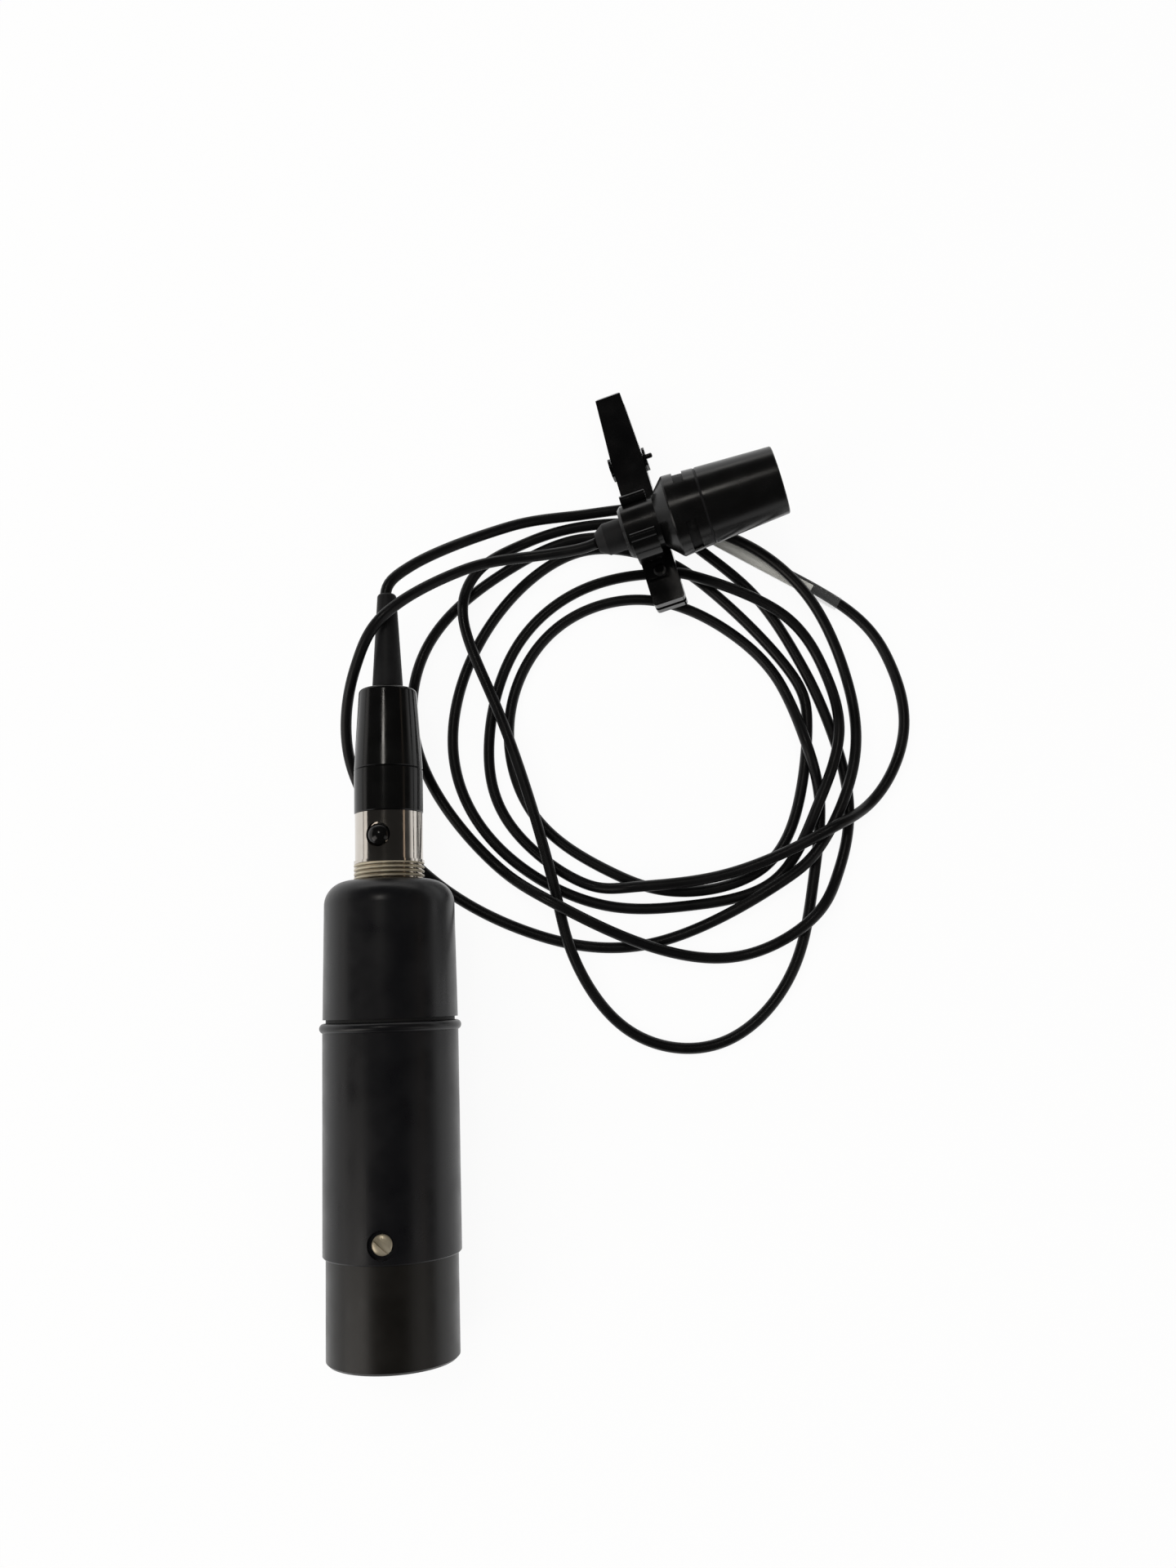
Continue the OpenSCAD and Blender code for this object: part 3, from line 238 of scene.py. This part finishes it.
cord_path, cord_length = evenly(cord_line(), 0.7)
cord = swept("cable", cord_path, CORD_R, 14)

# ---------------------------------------------------------------- materials


class Nodes:
    """A material's node tree, with short calls for the nodes that it needs."""

    def __init__(self, name):
        self.material = bpy.data.materials.new(name)
        self.material.use_nodes = True
        self.tree = self.material.node_tree
        self.shader = self.tree.nodes["Principled BSDF"]
        self.place = self.new("ShaderNodeTexCoord").outputs["Object"]

    def new(self, kind, **settings):
        node = self.tree.nodes.new(kind)
        for key, value in settings.items():
            setattr(node, key, value)
        return node

    def link(self, source, target):
        self.tree.links.new(source, target)

    def set(self, **values):
        for key, value in values.items():
            socket = self.shader.inputs[key.replace("_", " ")]
            socket.default_value = (*value, 1) if isinstance(value, tuple) else value

    def noise(self, scale, detail=2.0, stretch=(1, 1, 1)):
        place = self.new("ShaderNodeMapping")
        place.inputs["Scale"].default_value = stretch
        self.link(self.place, place.inputs["Vector"])
        noise = self.new("ShaderNodeTexNoise")
        noise.inputs["Scale"].default_value = scale
        noise.inputs["Detail"].default_value = detail
        self.link(place.outputs["Vector"], noise.inputs["Vector"])
        return noise.outputs["Fac"]

    def between(self, value, low, high, from_low=0.3, from_high=0.7):
        span = self.new("ShaderNodeMapRange")
        span.inputs["From Min"].default_value = from_low
        span.inputs["From Max"].default_value = from_high
        span.inputs["To Min"].default_value = low
        span.inputs["To Max"].default_value = high
        self.link(value, span.inputs["Value"])
        return span.outputs["Result"]

    def mix(self, factor, a, b):
        mix = self.new("ShaderNodeMix", data_type="RGBA")
        mix.inputs[6].default_value = (*a, 1)
        mix.inputs[7].default_value = (*b, 1)
        self.link(factor, mix.inputs[0])
        return mix.outputs[2]

    def bump(self, height, strength, distance):
        bump = self.new("ShaderNodeBump")
        bump.inputs["Strength"].default_value = strength
        bump.inputs["Distance"].default_value = distance
        self.link(height, bump.inputs["Height"])
        self.link(bump.outputs["Normal"], self.shader.inputs["Normal"])


def plain(name, dark, light, rough, metal=0.0, scale=900, grain=0.1, depth=2e-5, stretch=(1, 1, 1), **sets):
    """A finish whose colour, roughness and surface vary a little from place to place."""
    n = Nodes(name)
    n.set(Metallic=metal, **sets)
    patches = n.noise(scale * 0.25, 3.0, stretch)
    n.link(n.mix(n.between(patches, 0, 1), dark, light), n.shader.inputs["Base Color"])
    n.link(n.between(patches, rough - 0.06, rough + 0.06), n.shader.inputs["Roughness"])
    n.bump(n.noise(scale * 4, 4.0, stretch), grain, depth)
    return n.material


def make_materials():
    black = {"Specular_IOR_Level": 0.22}
    return {
        "body_black": plain("body_black", (0.0036, 0.0036, 0.0044), (0.0046, 0.0045, 0.0053), 0.32,
                            Specular_IOR_Level=0.34),
        "shell_black": plain("shell_black", (0.0050, 0.0044, 0.0037), (0.0066, 0.0057, 0.0046), 0.34,
                             Specular_IOR_Level=0.36),
        "mic_black": plain("mic_black", (0.0028, 0.0028, 0.0028), (0.0038, 0.0038, 0.0038), 0.24,
                           Specular_IOR_Level=0.28),
        "nickel": plain("nickel", (0.56, 0.52, 0.47), (0.66, 0.62, 0.57), 0.10, 1.0),
        "screw_steel": plain("screw_steel", (0.36, 0.31, 0.22), (0.62, 0.56, 0.43), 0.34, 0.6),
        "contact": plain("contact", (0.62, 0.46, 0.22), (0.75, 0.58, 0.30), 0.22, 1.0),
        "insert_plastic": plain("insert_plastic", (0.006, 0.006, 0.006), (0.010, 0.010, 0.010), 0.6, **black),
        "plug_plastic": plain("plug_plastic", (0.0028, 0.0028, 0.0028), (0.0040, 0.0040, 0.0040), 0.15,
                              Specular_IOR_Level=0.3),
        "boot_rubber": plain("boot_rubber", (0.0050, 0.0050, 0.0054), (0.0080, 0.0080, 0.0086), 0.52,
                             **black),
        "cord_jacket": plain("cord_jacket", (0.0030, 0.0030, 0.0032), (0.0048, 0.0048, 0.0050), 0.36,
                             **black),
        "label_white": plain("label_white", (0.76, 0.76, 0.71), (0.86, 0.86, 0.81), 0.45),
        "label_clear": plain("label_clear", (0.32, 0.33, 0.33), (0.40, 0.41, 0.41), 0.16, Alpha=0.09),
        "board_green": plain("board_green", (0.02, 0.10, 0.04), (0.03, 0.14, 0.06), 0.4),
        "can_blue": plain("can_blue", (0.01, 0.02, 0.08), (0.015, 0.03, 0.10), 0.3),
        "film_red": plain("film_red", (0.35, 0.04, 0.03), (0.45, 0.06, 0.04), 0.3),
        "component_black": plain("component_black", (0.01, 0.01, 0.01), (0.015, 0.015, 0.015), 0.55),
        "resistor_tan": plain("resistor_tan", (0.45, 0.33, 0.20), (0.55, 0.42, 0.26), 0.35),
        # Painted shade: the steel mesh is near black and not metallic, so the slots in front of it show the
        # dark of their hollows
        "mesh_steel": plain("mesh_steel", (0.0005, 0.0005, 0.0005), (0.006, 0.006, 0.006), 0.5, scale=6000,
                            Specular_IOR_Level=0.12),
        "felt": plain("felt", (0.012, 0.012, 0.012), (0.02, 0.02, 0.02), 0.95),
        "capsule_metal": plain("capsule_metal", (0.5, 0.5, 0.48), (0.62, 0.62, 0.6), 0.35, 1.0),
        "clip_plastic": plain("clip_plastic", (0.0022, 0.0022, 0.0023), (0.0032, 0.0032, 0.0033), 0.12,
                              Specular_IOR_Level=0.3),
        "dark_steel": plain("dark_steel", (0.03, 0.03, 0.03), (0.06, 0.06, 0.06), 0.35, 1.0),
        "spring_steel": plain("spring_steel", (0.35, 0.35, 0.35), (0.45, 0.45, 0.45), 0.3, 1.0),
    }


materials = make_materials()
for part in frame["record"]["subparts"]:
    mesh = nodes[part["node"]].data
    mesh.materials.clear()
    mesh.materials.append(materials[part["material_slot"]])

cord.data.materials.append(materials["cord_jacket"])
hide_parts("cord")

# ---------------------------------------------------------------- jack thread

# The thread's outer radius, its pitch, where it starts along the preamp, its turns and its crests' radius
THREAD_R = 5.325
THREAD_PITCH = 0.65
THREAD_FROM = -7.3
THREAD_TURNS = 5.6
CREST_R = 0.2


def thread_turns():
    """The rounded, worn crests of the jack's thread, as one helix over its grooves."""
    turn = np.linspace(0, THREAD_TURNS * 2 * math.pi, 560)
    r = THREAD_R - CREST_R
    line = np.column_stack([
        PREAMP_X + r * np.sin(turn),
        THREAD_FROM + THREAD_PITCH * turn / (2 * math.pi),
        PREAMP_Z + r * np.cos(turn),
    ])
    piece = swept("jack_thread_turns", line, CREST_R, 8)
    piece.data.materials.append(materials["screw_steel"])
    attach(piece, "root")


thread_turns()

# ---------------------------------------------------------------- slotted screw

# The head's domed height and full height, the shank's radius, and the slot's width, depth and turn
DOME_H = 0.32
HEAD_H = 0.57
SHANK_R = 0.95
SLOT_W = 0.8
SLOT_DEEP = 0.5
SLOT_TURN = -42


def corners(piece):
    """The least and the greatest corner of a CAD piece, in millimetres."""
    at = np.array([piece.matrix_world @ v.co for v in piece.data.vertices]) / MM
    return at.min(axis=0), at.max(axis=0)


def slotted_screw():
    """The screw by the three-pin end: a shank and a low domed head with an open slot."""
    low, high = corners(nodes["retaining_screw"])
    head_r = (high[0] - low[0]) / 2
    middle = (low + high) / 2
    edge = high[2] - DOME_H
    under = edge - (HEAD_H - DOME_H)
    dome = [
        (head_r * math.sin(a), edge + (high[2] - edge) * math.cos(a))
        for a in np.linspace(0.5 * math.pi, 0, 12)
    ]
    profile = [(0, low[2]), (SHANK_R, low[2]), (SHANK_R, under), (head_r, under), *dome]
    build = bmesh.new()
    ring = [build.verts.new((middle[0] + r, middle[1], z)) for r, z in profile]
    line = [build.edges.new((ring[i], ring[i + 1])) for i in range(len(ring) - 1)]
    bmesh.ops.spin(
        build, geom=ring + line, cent=(middle[0], middle[1], 0), axis=(0, 0, 1),
        angle=2 * math.pi, steps=48, use_merge=True, use_duplicate=False,
    )
    bmesh.ops.remove_doubles(build, verts=build.verts, dist=1e-4)
    bmesh.ops.recalc_face_normals(build, faces=build.faces)
    bmesh.ops.scale(build, vec=(MM, MM, MM), verts=build.verts)
    mesh = bpy.data.meshes.new("slotted_screw")
    build.to_mesh(mesh)
    build.free()
    screw = new_object("slotted_screw", mesh)

    cutter_mesh = bpy.data.meshes.new("cutter")
    build = bmesh.new()
    bmesh.ops.create_cube(build, size=1)
    build.to_mesh(cutter_mesh)
    build.free()
    cutter = new_object("cutter", cutter_mesh)
    cutter.scale = Vector((5, SLOT_W, 2 * SLOT_DEEP)) * MM
    cutter.rotation_euler = (0, 0, math.radians(SLOT_TURN))
    cutter.location = Vector((middle[0], middle[1], high[2])) * MM
    cut = screw.modifiers.new("slot", "BOOLEAN")
    cut.operation = "DIFFERENCE"
    cut.solver = "EXACT"
    cut.object = cutter
    bpy.context.view_layer.update()
    done = bpy.data.meshes.new_from_object(screw.evaluated_get(bpy.context.evaluated_depsgraph_get()))
    screw.modifiers.clear()
    screw.data = done
    bpy.data.objects.remove(cutter)
    screw.data.materials.clear()
    screw.data.materials.append(materials["screw_steel"])
    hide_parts("retaining_screw")
    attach(screw, "root")


slotted_screw()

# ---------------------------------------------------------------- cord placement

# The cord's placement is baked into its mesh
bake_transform(cord)

# ---------------------------------------------------------------- stage


def lit_white(name, shade, share):
    """White as seen and as mirrored, which still takes a soft shadow."""
    material = bpy.data.materials.new(name)
    material.use_nodes = True
    tree = material.node_tree
    tree.nodes.clear()
    out = tree.nodes.new("ShaderNodeOutputMaterial")
    diffuse = tree.nodes.new("ShaderNodeBsdfDiffuse")
    diffuse.inputs["Color"].default_value = (shade, shade, shade, 1)
    glow = tree.nodes.new("ShaderNodeEmission")
    rays = tree.nodes.new("ShaderNodeLightPath")
    seen = tree.nodes.new("ShaderNodeMath")
    seen.operation = "MAXIMUM"
    seen_more = tree.nodes.new("ShaderNodeMath")
    seen_more.operation = "MAXIMUM"
    part = tree.nodes.new("ShaderNodeMath")
    part.operation = "MULTIPLY"
    part.inputs[1].default_value = share
    mix = tree.nodes.new("ShaderNodeMixShader")
    link = tree.links.new
    link(rays.outputs["Is Camera Ray"], seen.inputs[0])
    link(rays.outputs["Is Glossy Ray"], seen.inputs[1])
    link(seen.outputs[0], seen_more.inputs[0])
    link(rays.outputs["Is Transmission Ray"], seen_more.inputs[1])
    link(seen_more.outputs[0], part.inputs[0])
    link(part.outputs[0], mix.inputs[0])
    link(diffuse.outputs[0], mix.inputs[1])
    link(glow.outputs[0], mix.inputs[2])
    link(mix.outputs[0], out.inputs["Surface"])
    return material


def make_stage():
    """A plain pale floor, just under the part."""
    mesh = bpy.data.meshes.new("floor")
    half = 3.0
    corner = [(-half, -half, 0), (half, -half, 0), (half, half, 0), (-half, half, 0)]
    mesh.from_pydata(corner, [], [(0, 1, 2, 3)])
    floor = new_object("floor", mesh)
    floor.location.z = -0.00002
    mesh.materials.append(lit_white("floor_white", 1.0, 0.93))


def soft_box(name, toward, size, shine, tint, mirrored=True):
    """A soft box a metre off that faces the object. shine is its own brightness, where 1 is white."""
    data = bpy.data.lights.new(name, "AREA")
    data.shape = "RECTANGLE"
    data.size, data.size_y = size
    data.energy = shine * math.pi * size[0] * size[1]
    data.color = tint
    lamp = bpy.data.objects.new(name, data)
    way = Vector(toward).normalized()
    lamp.location = way
    lamp.rotation_euler = (-way).to_track_quat("-Z", "Y").to_euler()
    lamp.visible_glossy = mirrored
    bpy.context.scene.collection.objects.link(lamp)


def make_world():
    """A room with pale walls and a dark ceiling; white where the camera looks past the floor."""
    world = bpy.data.worlds.new("world")
    world.use_nodes = True
    tree = world.node_tree
    background = tree.nodes["Background"]
    way = tree.nodes.new("ShaderNodeTexCoord")
    parts = tree.nodes.new("ShaderNodeSeparateXYZ")
    walls = tree.nodes.new("ShaderNodeValToRGB")
    shades = ((0.0, 0.7), (0.06, 0.5), (0.16, 0.07), (0.5, 0.022), (1.0, 0.02))
    ramp = walls.color_ramp.elements
    while len(ramp) < len(shades):
        ramp.new(0.5)
    for mark, (at, shade) in zip(ramp, shades):
        mark.position = at
        mark.color = (shade, shade * 0.985, shade * 0.965, 1)
    rays = tree.nodes.new("ShaderNodeLightPath")
    seen = tree.nodes.new("ShaderNodeMix")
    seen.data_type = "RGBA"
    seen.inputs[7].default_value = (1, 1, 1, 1)
    link = tree.links.new
    link(way.outputs["Generated"], parts.inputs[0])
    link(parts.outputs["Z"], walls.inputs["Fac"])
    link(walls.outputs["Color"], seen.inputs[6])
    link(rays.outputs["Is Camera Ray"], seen.inputs[0])
    link(seen.outputs[2], background.inputs["Color"])
    bpy.context.scene.world = world


def make_light():
    """Soft light from above that mirrors don't show, and walls and panels that they do."""
    make_world()
    soft_box("key", (-0.35, 0.25, 1), (1.3, 1.3), 1.5, (1.0, 0.99, 0.97), mirrored=False)
    soft_box("fill", (0.5, -0.6, 0.9), (1.0, 1.0), 0.55, (0.98, 0.99, 1.0), mirrored=False)
    soft_box("left_wall", (-0.97, -0.1, 0.24), (1.5, 0.24), 0.9, (1.0, 0.97, 0.94))
    soft_box("far_wall", (0.0, 1.0, 0.12), (1.5, 0.2), 1.6, (1.0, 0.98, 0.95))
    soft_box("right_strip", (0.86, 0.05, 0.5), (0.9, 0.09), 0.45, (1.0, 0.78, 0.60))
    soft_box("ceiling_panel", (-0.165, 0.31, 0.935), (0.12, 0.11), 16.0, (1.0, 0.96, 0.90))
    soft_box("left_panel", (-0.72, -0.42, 0.5), (0.45, 0.75), 2.2, (1.0, 0.95, 0.90))
    soft_box("right_panel", (0.72, -0.42, 0.5), (0.45, 0.6), 0.8, (1.0, 0.97, 0.94))


make_stage()
make_light()
bpy.context.scene.view_settings.view_transform = "Standard"
